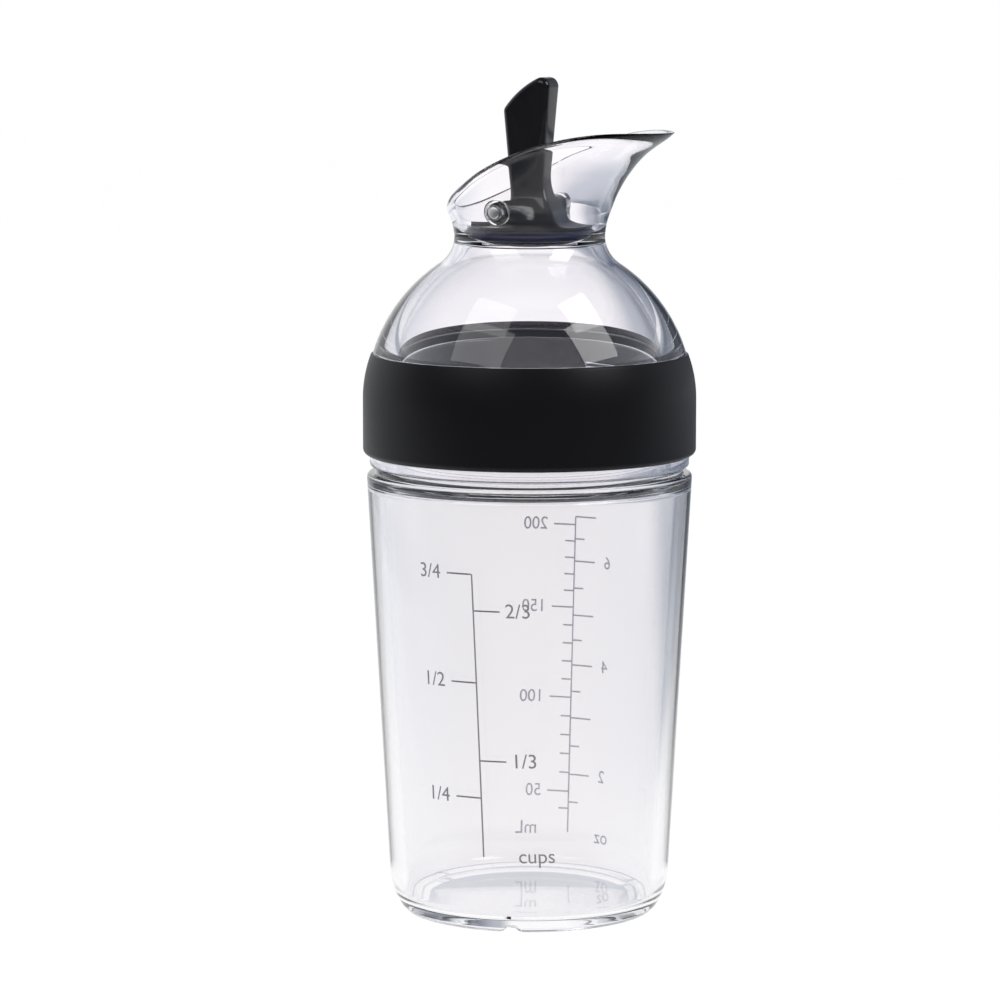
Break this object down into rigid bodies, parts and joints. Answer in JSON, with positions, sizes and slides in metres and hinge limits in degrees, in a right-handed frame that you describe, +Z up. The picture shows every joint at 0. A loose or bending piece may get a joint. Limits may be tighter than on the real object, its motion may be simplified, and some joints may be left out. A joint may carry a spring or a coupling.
{
  "type": "salad dressing shaker bottle",
  "caption": "Clear measuring bottle with a screw-on domed lid, a black grip ring, a flared pouring spout and a tilting lever stopper.",
  "frame": {"origin": "centre of the foot ring's standing face, on the bottle's axis", "axes": "+Z up the bottle, +X towards the tip of the spout, +Y along the stopper's hinge pin"},
  "size_m": [0.0694, 0.0694, 0.174],
  "materials": {
    "clear_body": "clear gloss",
    "clear_lid": "clear gloss",
    "ring_black": "satin",
    "gasket_dark": "satin",
    "lever_black": "gloss",
    "seal_navy": "satin",
    "pin_steel": "polished"
  },
  "bodies": {
    "bottle": {"bottle": "clear_body"},
    "gasket_carrier": {"lid_gasket": "gasket_dark"},
    "lid": {"lid_dome": "clear_lid", "grip_ring": "ring_black", "hinge_pin": "pin_steel"},
    "stopper": {"stopper": "lever_black", "stopper_seal": "seal_navy"}
  },
  "joints": [
    {"name": "lid_rise", "type": "slide", "parent": "bottle", "child": "gasket_carrier", "axis": [0, 0, 1], "range_m": [0, 0.021]},
    {"name": "lid_turn", "type": "hinge", "parent": "gasket_carrier", "child": "lid", "pos_m": [0, 0, 0.1], "axis": [0, 0, 1], "range_deg": [0, 1080]},
    {"name": "stopper_tilt", "type": "hinge", "parent": "lid", "child": "stopper", "pos_m": [0, 0, 0.147], "axis": [0, -1, 0], "range_deg": [0, 66]}
  ],
  "couplings": [
    {"joint": "lid_rise", "follows": "lid_turn", "m_per_rad": 0.0011141}
  ]
}
